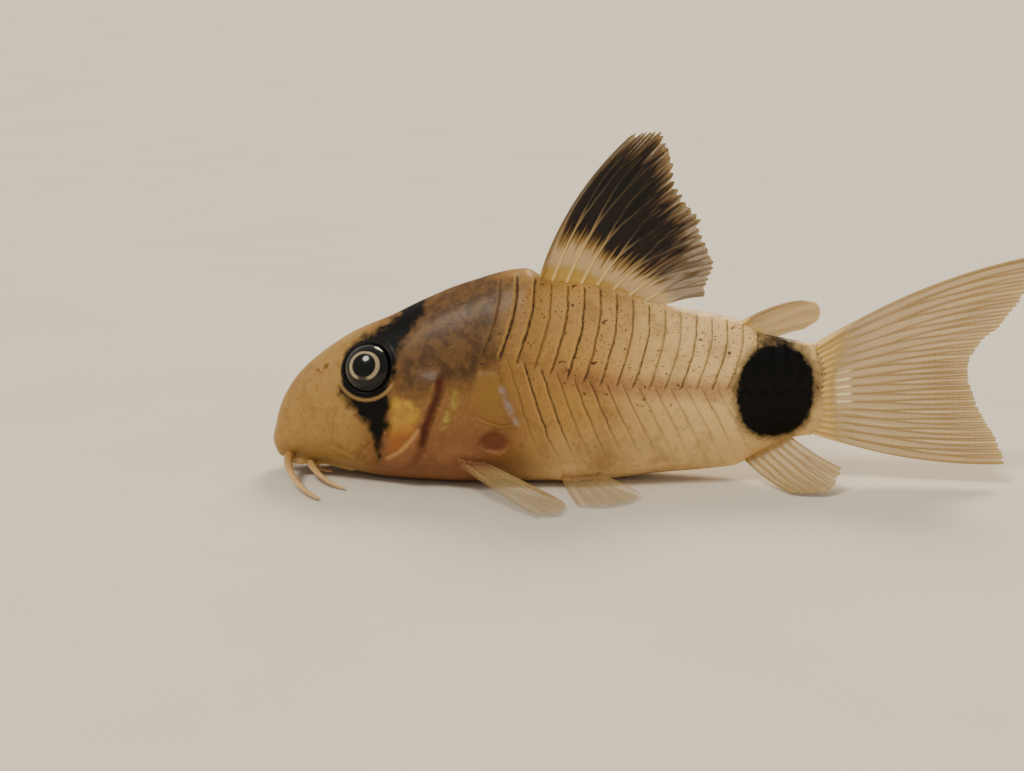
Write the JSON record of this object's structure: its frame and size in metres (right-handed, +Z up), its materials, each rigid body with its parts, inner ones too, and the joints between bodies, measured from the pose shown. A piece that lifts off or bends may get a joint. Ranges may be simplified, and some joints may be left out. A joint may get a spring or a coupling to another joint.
{
  "type": "panda corydoras catfish, still life-size model",
  "caption": "Life-size panda corydoras resting on its belly: black eye mask, tail spot and dorsal blotch, rows of bony plates on each flank, spread fins and short feelers.",
  "frame": {"origin": "on the floor, below the middle of the fish's bounding box", "axes": "+X from the snout to the tail fin, +Y to the fish's right side, +Z up"},
  "size_m": [0.053, 0.0206, 0.0246],
  "materials": {
    "skin": "moist pale tan skin over bony plates, black mask and tail spot",
    "fin": "thin translucent membrane with pale rays, black blotch on the dorsal fin",
    "eye": "wet black eye with a thin pale gold ring",
    "feeler": "moist pale flesh"
  },
  "bodies": {
    "root": {"head": "skin", "trunk": "skin", "tail_stalk": "skin", "eye_right": "eye", "eye_left": "eye", "upper_barbel_right": "feeler", "upper_barbel_left": "feeler", "lower_barbel_right": "feeler", "lower_barbel_left": "feeler", "chin_barbel_right": "feeler", "chin_barbel_left": "feeler", "dorsal_fin": "fin", "adipose_fin": "fin", "anal_fin": "fin", "caudal_fin": "fin", "pectoral_fin_right": "fin", "pectoral_fin_left": "fin", "pelvic_fin_right": "fin", "pelvic_fin_left": "fin"}
  },
  "joints": []
}
